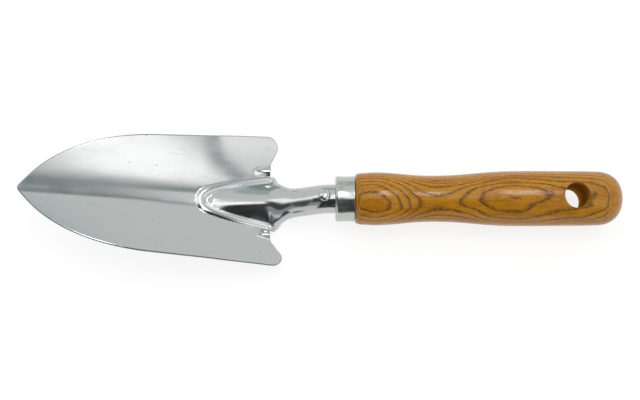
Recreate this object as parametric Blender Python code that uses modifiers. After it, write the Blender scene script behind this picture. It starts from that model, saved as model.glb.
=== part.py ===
"""Transplanting trowel: pressed blade with rolled neck, tang, rivet, ferrule and turned handle.

Lengths are in metres. The tool lies with its handle along X and the blade's hollow side up. Until
the last step, X is measured from the ferrule's front face and Z from the handle's axis.
"""
import math

import bmesh
import bpy
import numpy as np
from mathutils import Matrix, Vector
from mathutils.geometry import delaunay_2d_cdt

MM = 0.001

# Clearance between pieces that fit together
gap = 0.3 * MM

# Blade: one pressed sheet
sheet = 1.2 * MM
blade_reach = 155.0 * MM  # tip to ferrule
blade_pitch = math.radians(16.4)  # the tip stands up towards the user
blade_half_width = 33.8 * MM  # at the rear corners
dish_depth = 10.6 * MM
dish_crease = 0.10  # part of the half width that the rounded crease takes
corner_radius = 4.7 * MM
wing_rear = 28.3 * MM  # rearmost point of the wings, ahead of the ferrule
notch_x = -33.4 * MM  # where the neck leaves the blade
notch_y = 14.0 * MM
notch_drop = 11.3 * MM  # depth of the blade's middle line there, below the handle's axis
rear_edge_y = 20.6 * MM

# Loop: raised bead pressed round the foot of the neck
loop_apex_x = -68.2 * MM
loop_spread = 2.65  # half width in mm = spread * (distance behind the apex in mm) ** power
loop_power = 0.432
bead_height = 1.15 * MM
bead_width = 4.2 * MM
bead_apex_extra = 1.6 * MM  # the bead is wider round the apex
# Curl: beside each end of the bead the sheet is crimped up towards the rear edge
curl_start_x = -42.0 * MM
curl_ridge_y = 16.8 * MM
curl_spread = 0.42
curl_height = 1.6 * MM

# Neck: the same sheet, rolled into a tube
neck_radius = 7.3 * MM  # outside
neck_round_from = -8.0 * MM  # from here to the ferrule the neck is a true tube
gather_length = 3.4 * MM  # how fast the skirts swing down behind the notch
seam = 0.4 * MM
relief = 2.5 * MM  # the sheet is cut back under the neck, where the skirts would hang lowest
relief_length = 22 * MM
# Height of the neck's crest, front face, from the ridge inside the loop back to the ferrule
crest_line = [
    (-66, -1.4), (-62, -1.7), (-56, -2.0), (-47, -2.2), (-40, -2.1), (-33.4, -1.8),
    (-28, -1.2), (-22.9, 0.1), (-17.8, 2.6), (-12.8, 5.5), (-10.2, 6.9), (-8.4, 7.28), (-7.2, 7.3), (4, 7.3),
]

# Ferrule: a cup on the front of the handle
ferrule_length = 9.8 * MM
ferrule_radius = 11.5 * MM
ferrule_wall = 1.0 * MM
ferrule_shoulder = 1.3 * MM
ferrule_waist = 0.15 * MM

# Handle: turned wood
handle_length = 134.7 * MM
handle_max_radius = 14.0 * MM
# Shape of the grip from the front shoulder to the start of the rounded end:
# share of the handle's length, share of its largest radius
handle_curve = [
    (0, 0.865), (0.0111, 0.914), (0.0371, 0.940), (0.075, 0.958), (0.1236, 0.941),
    (0.1685, 0.904), (0.225, 0.855), (0.2814, 0.835), (0.349, 0.846), (0.4165, 0.889),
    (0.484, 0.947), (0.5516, 0.987), (0.657, 1), (0.77, 0.992), (0.8827, 0.981), (0.899, 0.976),
]
handle_end_length = 13.6 * MM
hole_radius = 6.55 * MM
hole_from_end = 24.9 * MM
hole_turn = math.radians(4.5)  # the handle sits a little turned on its tang

# Tang: hidden steel rod that joins neck and handle
plug_length = 12.0 * MM
plug_clear = 0.5 * MM
spike_radius = 4.2 * MM
spike_length = 68.0 * MM
spike_taper = 8.0 * MM

# Rivet through neck and tang
rivet_x = -5.4 * MM
rivet_radius = 1.7 * MM
rivet_head_radius = 3.0 * MM
rivet_head_height = 1.3 * MM

# Worked out from the sizes above
neck_mid = neck_radius - sheet / 2
neck_inner = neck_radius - sheet
neck_end = ferrule_wall
tip_x = -blade_reach
shoulder_x = ferrule_length + gap
spigot_radius = ferrule_radius - ferrule_wall - gap
handle_end_x = shoulder_x + handle_length
hole_x = handle_end_x - hole_from_end

# Half outline of the blade from the tip to the corner:
# distance behind the tip as a share of the reach, half width as a share of the rear's
side_line = [
    (0, 0), (0.0026, 0.0325), (0.009, 0.0695), (0.0239, 0.1464), (0.0439, 0.2411),
    (0.0703, 0.3491), (0.1032, 0.4586), (0.1355, 0.5473), (0.169, 0.6243), (0.2342, 0.7396),
    (0.3, 0.8195), (0.3652, 0.8698), (0.4645, 0.9038), (0.5935, 0.9393), (0.6581, 0.9615),
]

steel_colour = (0.60, 0.61, 0.63, 1)
plated_colour = (0.70, 0.70, 0.71, 1)
rod_colour = (0.30, 0.30, 0.31, 1)
wood_colour = (0.47, 0.19, 0.055, 1)


def clear_scene():
    for thing in list(bpy.data.objects):
        bpy.data.objects.remove(thing, do_unlink=True)


def make_collections():
    trowel = bpy.data.collections.new("transplanting trowel")
    cutters = bpy.data.collections.new("cutters")
    for collection in (trowel, cutters):
        bpy.context.scene.collection.children.link(collection)
    cutters.hide_render = True
    return trowel, cutters


def smooth_line(points, at):
    """Value of a smooth curve through the points at each place asked for."""
    xs, ys = (np.array(side, float) for side in zip(*points))
    slopes = np.gradient(ys, xs)
    i = np.clip(np.searchsorted(xs, at, side="right") - 1, 0, len(xs) - 2)
    step = xs[i + 1] - xs[i]
    t = np.clip((at - xs[i]) / step, 0, 1)
    return (
        ys[i] * (1 + 2 * t) * (1 - t) ** 2 + ys[i + 1] * t * t * (3 - 2 * t)
        + step * t * (1 - t) * (slopes[i] * (1 - t) - slopes[i + 1] * t)
    )


def smooth_step(t):
    t = np.clip(t, 0, 1)
    return t * t * (3 - 2 * t)


def base_height(x):
    """Height of the blade's straight middle line."""
    return -notch_drop + (notch_x - x) * math.tan(blade_pitch)


def crest_height(x):
    xs, zs = zip(*crest_line)
    return smooth_line([(a * MM, b * MM) for a, b in zip(xs, zs)], x)


def dish(x, y):
    """Rise of the hollow blade from its middle line: a rounded V whose sides curve up a little.

    Towards the rear, the V opens into an even hollow.
    """
    u = np.abs(y) / blade_half_width
    c = dish_crease
    vee = 0.65 * (np.sqrt(u * u + c * c) - c) / (math.sqrt(1 + c * c) - c) + 0.35 * u * u
    rear = smooth_step((x - loop_apex_x) / (notch_x - loop_apex_x))
    return dish_depth * ((1 - rear) * vee + rear * u**2.1)


def loop_half_width(x):
    behind = np.maximum(x - loop_apex_x, 0) / MM
    return loop_spread * behind**loop_power * MM


def loop_route(step):
    """Points along half of the loop, from the apex back past the notch, with its normals."""
    t = np.linspace(0, 1, 400) ** 2
    x = loop_apex_x + t * (notch_x + 4 * MM - loop_apex_x)
    y = loop_half_width(x)
    run = np.concatenate([[0], np.cumsum(np.hypot(np.diff(x), np.diff(y)))])
    at = np.linspace(0, run[-1], max(int(run[-1] / step), 2))
    x, y = np.interp(at, run, x), np.interp(at, run, y)
    along = np.stack([np.gradient(x), np.gradient(y)], axis=1)
    along[0] = (0, 1)
    along /= np.linalg.norm(along, axis=1)[:, None]
    return np.stack([x, y], axis=1), np.stack([-along[:, 1], along[:, 0]], axis=1)


route_fine, _ = loop_route(0.2 * MM)


def height(x, y):
    """Height of the blade's front face, as pressed, at a place in plan."""
    x, y = np.asarray(x, float), np.abs(np.asarray(y, float))
    hollow = dish(x, y)
    inner = np.maximum(loop_half_width(x) - 0.5 * MM, 1e-6)
    rise = np.where(x > loop_apex_x, (1 - np.minimum(y / inner, 1) ** 2) ** 1.15, 0)
    ends_in = smooth_step((x - loop_apex_x) / (6 * MM))
    surface = hollow + rise * ends_in * (crest_height(x) - base_height(x) - hollow)

    far = np.min(
        np.hypot(x[..., None] - route_fine[:, 0], y[..., None] - route_fine[:, 1]), axis=-1
    )
    width = bead_width + bead_apex_extra * np.exp(-(((x - loop_apex_x) / (5 * MM)) ** 2))
    bead = bead_height * (1 - np.minimum(2 * far / width, 1) ** 2) ** 1.5
    bead = bead * (1 - smooth_step((x - notch_x) / (4 * MM)))

    return base_height(x) + surface + bead + curl(x, y)


def curl(x, y):
    """Rise of the crimp between the bead's end and the wing: steep inside, a long slope outside."""
    behind = np.maximum(x - curl_start_x, 0)
    inner_foot = loop_half_width(x) + 1.2 * MM
    outer_foot = curl_ridge_y + curl_spread * behind
    inside = smooth_step((y - inner_foot) / np.maximum(curl_ridge_y - inner_foot, 0.3 * MM))
    outside = 1 - np.clip((y - curl_ridge_y) / np.maximum(outer_foot - curl_ridge_y, 0.3 * MM), 0, 1)
    shape = np.where(y < curl_ridge_y, inside, outside**2)
    full = notch_x - curl_start_x
    return curl_height * np.minimum(behind / full, 1.3) ** 1.4 * shape * (1 - smooth_step((x - notch_x) / full))


def neck_section(x, v):
    """Place on the neck of the line that left the blade at half width v.

    A circle's bend starts at the skirt's free edge and works inwards, while the pressed hump's
    own slope fades, so the skirts swing down and meet in a seam at the back.
    """
    ys = np.linspace(0, notch_y + 1 * MM, 240)
    z_here = height(np.full_like(ys, x), ys)
    z_notch = height(np.full_like(ys, notch_x), ys)
    run = np.concatenate([[0], np.cumsum(np.hypot(np.diff(ys), np.diff(z_here)))])
    run_notch = np.concatenate([[0], np.cumsum(np.hypot(np.diff(ys), np.diff(z_notch)))])
    lean = np.arctan(np.gradient(z_here, ys))

    behind = x - notch_x
    roll = 1 - math.exp(-((behind / gather_length) ** 1.25))
    roll += (1 - roll) * float(smooth_step(behind / (neck_round_from - notch_x)))
    whole = np.interp(notch_y, ys, run_notch)
    wanted = math.pi * neck_mid - seam / 2
    end = np.interp(v, ys, run_notch) * (1 + roll * (wanted / whole - 1))

    s = np.linspace(0, max(end, 1e-9), 160)
    start, soft = whole * (1 - roll), 8 * MM * roll * (1 - roll)
    past = s - start
    turn = (past + np.hypot(past, soft) - (math.hypot(start, soft) - start)) / 2 / neck_mid
    angle = (1 - roll) * np.interp(s, run, lean) - turn
    ds = s[1] - s[0]
    y = np.concatenate([[0], np.cumsum((np.cos(angle[1:]) + np.cos(angle[:-1])) / 2 * ds)])
    z = np.concatenate([[0], np.cumsum((np.sin(angle[1:]) + np.sin(angle[:-1])) / 2 * ds)])
    return y[-1], crest_height(x) + z[-1]


def pressed(x, v):
    """Where a place on the flat sheet ends up. The sheet's middle layer lies half its thickness
    below the front face."""
    if x > notch_x and v <= notch_y + 1e-7:
        y, z = neck_section(x, v)
    else:
        y, z = v, float(height(x, v))
    return x, y, z - sheet / 2


def blade_outline(step):
    """Half of the flat sheet's outline, from the neck's end on the middle line round to it."""
    corner_x, corner_y = -wing_rear - corner_radius, blade_half_width - corner_radius
    path = np.array([(a * blade_reach, b * blade_half_width) for a, b in side_line])
    path = np.vstack([path, (blade_reach + corner_x, blade_half_width)])
    chord = np.concatenate([[0], np.cumsum(np.hypot(*np.diff(path, axis=0).T))])
    at = np.arange(0, chord[-1], step)
    first = np.array([0.0, 0.2, 0.5]) * sheet * 1.7
    at = np.concatenate([first, at[at > 1.5 * sheet], [chord[-1]]])
    side_x = smooth_line(list(zip(chord, path[:, 0])), at) - blade_reach
    side_y = smooth_line(list(zip(chord, path[:, 1])), at)
    outline = list(zip(side_x, side_y))
    outline[0] = (tip_x, 0.0)
    for angle in np.linspace(90, -24, 9)[1:]:
        a = math.radians(angle)
        outline.append((corner_x + corner_radius * math.cos(a), corner_y + corner_radius * math.sin(a)))
    rear_to = (notch_x + 0.4 * MM, rear_edge_y)
    outline += straight(outline[-1], rear_to, step)[1:]
    outline += straight(rear_to, (notch_x, notch_y), step / 2)[1:]
    for x, _ in straight((notch_x, notch_y), (neck_end, notch_y), step * 0.75)[1:]:
        t = min((x - notch_x) / relief_length, 1)
        outline.append((x, notch_y - relief * math.sin(math.pi * t) ** 2))
    return outline


def straight(a, b, step):
    n = max(int(round(math.dist(a, b) / step)), 1)
    return [(a[0] + (b[0] - a[0]) * i / n, a[1] + (b[1] - a[1]) * i / n) for i in range(n + 1)]


def sheet_points(outline, step):
    """Points inside the outline, close together where the press bends the sheet most."""
    kept = [np.array(p) for p in outline]
    count = len(kept)
    inside_of = np.array(outline + [(neck_end, 0.0)])

    def offer(p, clear):
        if p[1] < -1e-9 or p[0] > neck_end + 1e-9:
            return
        if not within(p, inside_of):
            return
        if np.min(np.hypot(*(np.array(kept) - p).T)) >= clear:
            kept.append(np.array(p))

    route, normal = loop_route(step * 0.8)
    for share in (0, 0.5, -0.5, 1.0, -1.0, 1.6, -1.6):
        for p, n in zip(route, normal):
            q = p + n * share * bead_width / 2
            if q[1] > -0.2 * MM:
                offer((q[0], max(q[1], 0.0) if q[1] > 0.6 * MM else 0.0), step * 0.36)
    for x in np.arange(neck_end, loop_apex_x, -step * 0.8):
        for y in np.arange(0, notch_y + step, step * 0.8):
            if y < loop_half_width(x) or x > notch_x:
                offer((x, y), step * 0.55)
    for k, x in enumerate(np.arange(notch_x + 5 * MM, tip_x, -step * 1.6)):
        for y in np.arange(0 if k % 2 else step * 0.8, blade_half_width, step * 1.6):
            offer((x, y), step * 1.1)
        offer((x, 0.0), step * 0.8)
    return kept, count


def within(p, polygon):
    """True where the place lies inside the closed polygon or on its middle line."""
    x, y = p[0], max(p[1], 1e-6)
    a, b = polygon, np.roll(polygon, -1, axis=0)
    crosses = (a[:, 1] > y) != (b[:, 1] > y)
    span = np.where(crosses, b[:, 1] - a[:, 1], 1)
    meets = a[:, 0] + (y - a[:, 1]) / span * (b[:, 0] - a[:, 0])
    return bool(np.sum(crosses & (x < meets)) % 2)


def build_blade(collection, step=2.0 * MM):
    outline = blade_outline(step * 1.3)
    points, count = sheet_points(outline, step)
    middle = sorted({round(p[0], 9) for p in points if abs(p[1]) < 1e-9}, reverse=True)
    end_row = [p for p in points[count:] if abs(p[0] - neck_end) < 1e-9 and p[1] > 1e-6]
    end_row.sort(key=lambda p: -p[1])

    flat = [Vector((p[0] / MM, p[1] / MM)) for p in points]
    index = {(round(p[0], 9), round(p[1], 9)): i for i, p in enumerate(points)}
    border = list(range(count))
    border += [index[(round(p[0], 9), round(p[1], 9))] for p in end_row]
    if (round(neck_end, 9), 0.0) not in index:
        index[(round(neck_end, 9), 0.0)] = len(flat)
        flat.append(Vector((neck_end / MM, 0)))
        middle.insert(0, round(neck_end, 9))
    border += [index[(x, 0.0)] for x in middle if x > tip_x + 1e-9]
    edges = [(border[i], border[(i + 1) % len(border)]) for i in range(len(border))]
    verts, _, faces, *_ = delaunay_2d_cdt(flat, edges, [], 2, 1e-5)

    mesh = bpy.data.meshes.new("blade")
    places = []
    for co in verts:
        x, y, z = pressed(co.x * MM, co.y * MM)
        places.append((x, 0.0 if abs(co.y) < 1e-4 else y, z))
    mesh.from_pydata(places, [], [list(f) for f in faces])
    blade = bpy.data.objects.new("blade", mesh)
    collection.objects.link(blade)

    other_half = blade.modifiers.new("other half", "MIRROR")
    other_half.use_axis = (False, True, False)
    other_half.use_clip = True
    other_half.merge_threshold = 0.00002
    thickness = blade.modifiers.new("sheet thickness", "SOLIDIFY")
    thickness.thickness = sheet
    thickness.offset = 0
    apply_modifiers(blade)
    return blade


def apply_modifiers(thing):
    """Replace the object's mesh with its finished shape, with normals that face out."""
    graph = bpy.context.evaluated_depsgraph_get()
    done = bpy.data.meshes.new_from_object(thing.evaluated_get(graph))
    thing.modifiers.clear()
    thing.data = done
    tidy = bmesh.new()
    tidy.from_mesh(done)
    bmesh.ops.remove_doubles(tidy, verts=tidy.verts, dist=1e-6)
    bmesh.ops.dissolve_degenerate(tidy, edges=tidy.edges, dist=1e-6)
    bmesh.ops.recalc_face_normals(tidy, faces=tidy.faces)
    tidy.to_mesh(done)
    tidy.free()


def turned(name, profile, collection, steps=48, closed=False, axis="X"):
    """Solid turned round the handle's axis from points (place along, radius)."""
    mesh = bpy.data.meshes.new(name)
    places = [(radius, 0.0, along) for along, radius in profile]
    edges = [(i, i + 1) for i in range(len(places) - 1)]
    if closed:
        edges.append((len(places) - 1, 0))
    mesh.from_pydata(places, edges, [])
    thing = bpy.data.objects.new(name, mesh)
    collection.objects.link(thing)
    spin = thing.modifiers.new("turned", "SCREW")
    spin.steps = spin.render_steps = steps
    spin.use_merge_vertices = True
    spin.merge_threshold = 0.00001
    apply_modifiers(thing)
    if axis == "X":
        thing.data.transform(Matrix.Rotation(math.radians(90), 4, "Y"))
    return thing


def cut(thing, cutter):
    """Take the cutter's shape out of the object."""
    difference = thing.modifiers.new("cut", "BOOLEAN")
    difference.operation = "DIFFERENCE"
    difference.solver = "EXACT"
    difference.object = cutter
    apply_modifiers(thing)


def hole_cutter(name, radius, length, at, cutters, turn=0.0, steps=32):
    """Round bar along Z that cuts a hole, turned about the handle's axis if asked."""
    bar = turned(name, [(-length / 2, 0), (-length / 2, radius), (length / 2, radius), (length / 2, 0)],
                 cutters, steps, axis="Z")
    bar.data.transform(Matrix.Translation(at))
    bar.data.transform(Matrix.Rotation(turn, 4, "X"))
    bar.display_type = "WIRE"
    bar.hide_render = True
    return bar


def arc(centre_x, centre_r, radius, start, end, n):
    """Points of a rounded stretch of a profile; angles in degrees, 0 along the axis."""
    angles = np.radians(np.linspace(start, end, n))
    return [(centre_x + radius * math.cos(a), centre_r + radius * math.sin(a)) for a in angles]


def build_handle(trowel, cutters):
    front = np.array([0, 0.5, 1.1, 1.9, 4, 7.5]) * MM
    round_from = handle_length - handle_end_length
    rest = np.linspace(12 * MM, round_from, 22)
    profile = [(ferrule_wall + gap, 0), (ferrule_wall + gap, spigot_radius - 0.5 * MM),
               (ferrule_wall + gap + 0.5 * MM, spigot_radius), (shoulder_x, spigot_radius)]
    profile.append((shoulder_x, ferrule_radius))
    for along in np.concatenate([front, rest]):
        share = float(smooth_line(handle_curve, along / handle_length))
        profile.append((shoulder_x + along, share * handle_max_radius))
    end_radius = handle_curve[-1][1] * handle_max_radius
    start = shoulder_x + round_from
    for angle in np.linspace(0, 90, 11)[1:]:
        a = math.radians(angle)
        profile.append((start + handle_end_length * math.sin(a), end_radius * max(math.cos(a), 0)))
    profile[-1] = (handle_end_x, 0)
    handle = turned("handle", profile, trowel, 56)

    bore = [(0, 0), (0, spike_radius + gap), (spike_length - spike_taper, spike_radius + gap),
            (spike_length + 3 * MM, 0.8 * MM), (spike_length + 3 * MM, 0)]
    bore_cutter = turned("tang bore", bore, cutters, 24)
    bore_cutter.display_type = "WIRE"
    cut(handle, bore_cutter)
    cut(handle, hole_cutter("hanging hole", hole_radius, 4 * handle_max_radius,
                            (hole_x, 0, 0), cutters, hole_turn, 40))
    return handle


def build_ferrule(trowel):
    r, wall, length = ferrule_radius, ferrule_wall, ferrule_length
    profile = [(wall, neck_radius + gap), (0, neck_radius + gap)]
    profile += arc(ferrule_shoulder, r - ferrule_shoulder, ferrule_shoulder, 180, 90, 7)
    for share in (0.25, 0.5, 0.75):
        place = ferrule_shoulder + (length - ferrule_shoulder) * share
        profile.append((place, r - ferrule_waist * math.sin(math.pi * share)))
    profile += [(length - 0.3 * MM, r), (length, r - 0.3 * MM), (length, r - wall),
                (wall + 0.4 * MM, r - wall), (wall, r - wall - 0.4 * MM)]
    return turned("ferrule", profile, trowel, 56, closed=True)


def build_tang(trowel, cutters):
    plug = neck_inner - plug_clear
    end = ferrule_wall
    profile = [(end - plug_length, 0), (end - plug_length, plug - 0.8 * MM),
               (end - plug_length + 0.8 * MM, plug), (end, plug), (end, spike_radius),
               (spike_length - spike_taper, spike_radius), (spike_length, 1.0 * MM), (spike_length, 0)]
    tang = turned("tang", profile, trowel, 32)
    cut(tang, hole_cutter("tang rivet hole", rivet_radius + gap, 4 * plug,
                          (rivet_x, 0, 0), cutters, steps=20))
    return tang


def build_rivet(trowel, cutters):
    """Domed head in front and a formed head behind; both bear on the round neck."""
    top = neck_radius + rivet_head_height
    under = neck_radius - 1.0 * MM
    profile = [(-top, 0)]
    for angle in np.linspace(0, 90, 6)[1:]:
        a = math.radians(angle)
        profile.append((-top + rivet_head_height * (1 - math.cos(a)),
                        rivet_head_radius * math.sin(a)))
    profile += [(-under, rivet_head_radius), (-under, rivet_radius), (under, rivet_radius),
                (under, rivet_head_radius)]
    for angle in np.linspace(90, 0, 6):
        a = math.radians(angle)
        profile.append((top - rivet_head_height * (1 - math.cos(a)), rivet_head_radius * math.sin(a)))
    profile[-1] = (top, 0)
    rivet = turned("rivet", profile, trowel, 28, axis="Z")
    rivet.data.transform(Matrix.Translation((rivet_x, 0, 0)))

    # The undersides follow the neck: a sleeve round the neck's outside is taken away.
    reach = 2 * rivet_head_radius
    outer, inner = neck_radius + gap, rivet_radius
    sleeve = turned("rivet seat", [(rivet_x - reach, 0), (rivet_x - reach, outer),
                                   (rivet_x + reach, outer), (rivet_x + reach, 0)], cutters, 56)
    sleeve.display_type = "WIRE"
    core = hole_cutter("rivet shank", inner, 4 * neck_radius, (rivet_x, 0, 0), cutters, steps=28)
    cut(sleeve, core)
    cut(rivet, sleeve)
    return rivet


def set_material(thing, name, colour, metallic, roughness):
    material = bpy.data.materials.new(name)
    material.use_nodes = True
    shader = material.node_tree.nodes["Principled BSDF"]
    shader.inputs["Base Color"].default_value = colour
    shader.inputs["Metallic"].default_value = metallic
    shader.inputs["Roughness"].default_value = roughness
    material.diffuse_color = colour
    thing.data.materials.clear()
    thing.data.materials.append(material)


def main():
    clear_scene()
    trowel, cutters = make_collections()
    blade = build_blade(trowel)
    cut(blade, hole_cutter("neck rivet hole", rivet_radius + gap, 4 * neck_radius,
                           (rivet_x, 0, 0), cutters, steps=20))
    tang = build_tang(trowel, cutters)
    rivet = build_rivet(trowel, cutters)
    ferrule = build_ferrule(trowel)
    handle = build_handle(trowel, cutters)

    set_material(blade, "polished stainless", steel_colour, 1, 0.16)
    set_material(ferrule, "bright ferrule", plated_colour, 1, 0.14)
    set_material(rivet, "rivet steel", plated_colour, 1, 0.25)
    set_material(tang, "tang steel", rod_colour, 1, 0.5)
    set_material(handle, "lacquered wood", wood_colour, 0, 0.35)

    # The origin moves to the middle of the length, level with the neck's lowest point.
    pieces = (blade, tang, rivet, ferrule, handle)
    lowest = min(v.co.z for thing in pieces for v in thing.data.vertices)
    place = Matrix.Translation(((blade_reach - handle_end_x) / 2, 0, -lowest))
    print("the handle's axis lies", round(-lowest / MM, 2), "mm up")
    for thing in (*pieces, *cutters.objects):
        thing.data.transform(place)
        for face in thing.data.polygons:
            face.use_smooth = True
    for thing in pieces:
        low = [min(v.co[i] for v in thing.data.vertices) / MM for i in range(3)]
        high = [max(v.co[i] for v in thing.data.vertices) / MM for i in range(3)]
        faces = sum(len(p.vertices) - 2 for p in thing.data.polygons)
        print(thing.name, [round(v, 1) for v in low], [round(v, 1) for v in high], faces)


main()
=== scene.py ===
# %% [markdown]
# # A transplanting trowel
#
# The tool is a narrow pressed blade of polished stainless steel, whose neck is rolled from the
# same sheet, a rivet, a bright ferrule and a turned handle of lacquered ring-porous wood. The
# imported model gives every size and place. This script makes the finer surfaces and the finishes
# over it, one step at a time.

import math

import bmesh
import bpy
import numpy as np
from mathutils import Matrix, Vector
from mathutils.geometry import delaunay_2d_cdt


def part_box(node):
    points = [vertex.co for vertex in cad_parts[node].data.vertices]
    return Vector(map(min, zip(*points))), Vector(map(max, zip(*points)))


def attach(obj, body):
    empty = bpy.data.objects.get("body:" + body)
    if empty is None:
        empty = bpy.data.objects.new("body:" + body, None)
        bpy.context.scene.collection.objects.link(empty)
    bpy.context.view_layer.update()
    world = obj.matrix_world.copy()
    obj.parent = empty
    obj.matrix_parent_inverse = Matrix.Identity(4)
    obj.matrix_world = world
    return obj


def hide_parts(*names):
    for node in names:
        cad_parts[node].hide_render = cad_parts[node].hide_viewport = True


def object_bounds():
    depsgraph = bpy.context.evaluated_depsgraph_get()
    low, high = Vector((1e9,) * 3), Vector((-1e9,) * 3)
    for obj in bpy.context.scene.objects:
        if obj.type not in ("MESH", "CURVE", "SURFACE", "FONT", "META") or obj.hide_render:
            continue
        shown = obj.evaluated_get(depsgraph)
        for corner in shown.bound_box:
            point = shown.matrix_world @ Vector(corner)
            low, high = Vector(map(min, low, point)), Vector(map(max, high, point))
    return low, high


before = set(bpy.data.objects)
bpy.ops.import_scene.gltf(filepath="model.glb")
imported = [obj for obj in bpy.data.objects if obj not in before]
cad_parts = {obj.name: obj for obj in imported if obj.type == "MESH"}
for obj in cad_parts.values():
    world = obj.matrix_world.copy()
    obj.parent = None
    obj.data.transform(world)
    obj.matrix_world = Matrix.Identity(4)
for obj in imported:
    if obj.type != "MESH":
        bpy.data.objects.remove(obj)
cad_box = [[float(v) for v in corner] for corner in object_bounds()]
print("model's box in mm:", [[round(v * 1000, 1) for v in corner] for corner in cad_box])

# %% [markdown]
# ## Places that the pieces share
#
# Everything is measured along the handle's axis. The ferrule's front face is a good zero for
# lengths, because the neck ends there and the handle starts behind it, and the handle's axis is
# the zero for heights. Both are read from the model's own boxes, so nothing is fitted by eye.

# %% Ferrule face and handle axis
MM = 0.001
scene = bpy.context.scene


def corners(box):
    """Lowest and highest corner as arrays."""
    return (np.array(corner, float) for corner in box)


ferrule_low, ferrule_high = corners(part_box("ferrule"))
_, handle_high = corners(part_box("handle"))
blade_low, _ = corners(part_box("blade"))
face_x = ferrule_low[0]
axis_z = (ferrule_low[2] + ferrule_high[2]) / 2
ferrule_radius = (ferrule_high[2] - ferrule_low[2]) / 2
ferrule_length = ferrule_high[0] - ferrule_low[0]
handle_end = handle_high[0] - face_x
tip_margin = 0.08 * MM  # keeps the rounded edge inside the model's box
blade_reach = face_x - blade_low[0] - tip_margin
print(f"blade reaches {blade_reach / MM:.1f} mm ahead of the ferrule's face,",
      f"handle {handle_end / MM:.1f} mm behind it")


def smooth_step(t):
    """0 up to 0, 1 from 1 on, and an even S between them."""
    t = np.clip(t, 0, 1)
    return t * t * (3 - 2 * t)


def full_turn(steps):
    return np.radians(np.arange(steps) * 360 / steps)


def walked(xs, ys):
    """Distance walked to each place of a line."""
    return np.concatenate([[0], np.cumsum(np.hypot(np.diff(xs), np.diff(ys)))])


def fade_in(value, start, length):
    """0 up to the start, then an even S that reaches 1 after the length."""
    return smooth_step((value - start) / length)


def smooth_line(points, at):
    """Value of a smooth curve through the points at each place asked for."""
    xs, ys = (np.array(side, float) for side in zip(*points))
    slopes = np.gradient(ys, xs)
    at = np.asarray(at, float)
    i = np.clip(np.searchsorted(xs, at, side="right") - 1, 0, len(xs) - 2)
    step = xs[i + 1] - xs[i]
    t = np.clip((at - xs[i]) / step, 0, 1)
    return (
        ys[i] * (1 + 2 * t) * (1 - t) ** 2 + ys[i + 1] * t * t * (3 - 2 * t)
        + step * t * (1 - t) * (slopes[i] * (1 - t) - slopes[i + 1] * t)
    )


# %% [markdown]
# ## The blade's form
#
# A press gives the sheet three things at once: a hollow, a raised loop bead that stiffens the
# root, and a hump inside the loop that grows into the neck. Modelling it by pushing vertices
# would leave ripples that polished steel shows at once. A height written as a formula has no
# ripples, so the front face here is a sum: a hollow, a hump inside the loop, and a bead whose
# distance is measured from the loop's own curve.

# %% Sizes of the pressing
sheet = 1.2 * MM
blade_pitch = math.radians(16.4)  # the tip stands up towards the user
half_width = 33.8 * MM
hollow_depth = 10.6 * MM
crease = 0.10  # part of the half width that the rounded bottom of the V takes
vee_share = 0.65  # the rest of the hollow's front is a shallow bowl
bowl_length, bowl_share, bowl_power = 40 * MM, 0.86, 1.75  # the even bowl grows behind the apex

# Notch: where the neck leaves the blade. Its drop is the middle line's depth below the axis.
notch_x, notch_y, notch_drop = -33.4 * MM, 14.0 * MM, 11.3 * MM

# Loop: its half width in mm is spread * (mm behind the apex) ** power.
apex_x = -68.2 * MM
loop_spread, loop_power = 2.65, 0.432
bead_height, bead_width, bead_power = 1.15 * MM, 4.2 * MM, 1.5
apex_extra, apex_zone = 1.6 * MM, 5 * MM  # the bead is wider round the apex
bead_fade = 4 * MM  # the bead dies out over this length behind the notch
hump_inset, hump_start, hump_power = 0.5 * MM, 6 * MM, 1.15

# Curl: the crimp beside each end of the bead, from its start back to the rear edge.
curl_x, curl_y, curl_spread, curl_height = -42.0 * MM, 16.8 * MM, 0.42, 1.6 * MM
curl_clear, curl_least = 1.2 * MM, 0.3 * MM  # its distance from the bead, its shortest slope
curl_most, curl_power = 1.3, 1.4

# Height of the ridge's crest in mm, from inside the loop back to the ferrule.
crest_line = [
    (-66, -1.4), (-62, -1.7), (-56, -2.0), (-47, -2.2), (-40, -2.1), (-33.4, -1.8), (-28, -1.0),
    (-22.9, 0.5), (-17.8, 2.9), (-12.8, 5.4), (-9.5, 6.65), (-6.5, 7.2), (-4, 7.3), (4, 7.3),
]


def middle_height(x):
    """Height of the blade's straight middle line over the handle's axis."""
    return -notch_drop + (notch_x - x) * math.tan(blade_pitch)


def crest_height(x):
    """Height of the ridge that runs from the loop back over the neck."""
    return smooth_line([(a * MM, b * MM) for a, b in crest_line], x)


def hollow(x, y):
    """Rise of the blade from its middle line: a rounded V ahead, an even bowl at the rear."""
    u = np.abs(y) / half_width
    vee = (np.sqrt(u * u + crease**2) - crease) / (math.sqrt(1 + crease**2) - crease)
    ahead = vee_share * vee + (1 - vee_share) * u * u
    rear = np.clip((x - apex_x) / bowl_length, 0, 1) ** 2
    return hollow_depth * ((1 - rear) * ahead + rear * bowl_share * u**bowl_power)


def loop_half_width(x):
    """Half the distance between the two sides of the bead's centre line."""
    return loop_spread * (np.maximum(x - apex_x, 0) / MM) ** loop_power * MM


loop_x = apex_x + np.linspace(0, 1, 160) ** 2 * (notch_x + bead_fade - apex_x)
loop_y = loop_half_width(loop_x)
near_ahead, near_aside = 4 * MM, 22 * MM  # beyond these no place can touch the bead


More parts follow.
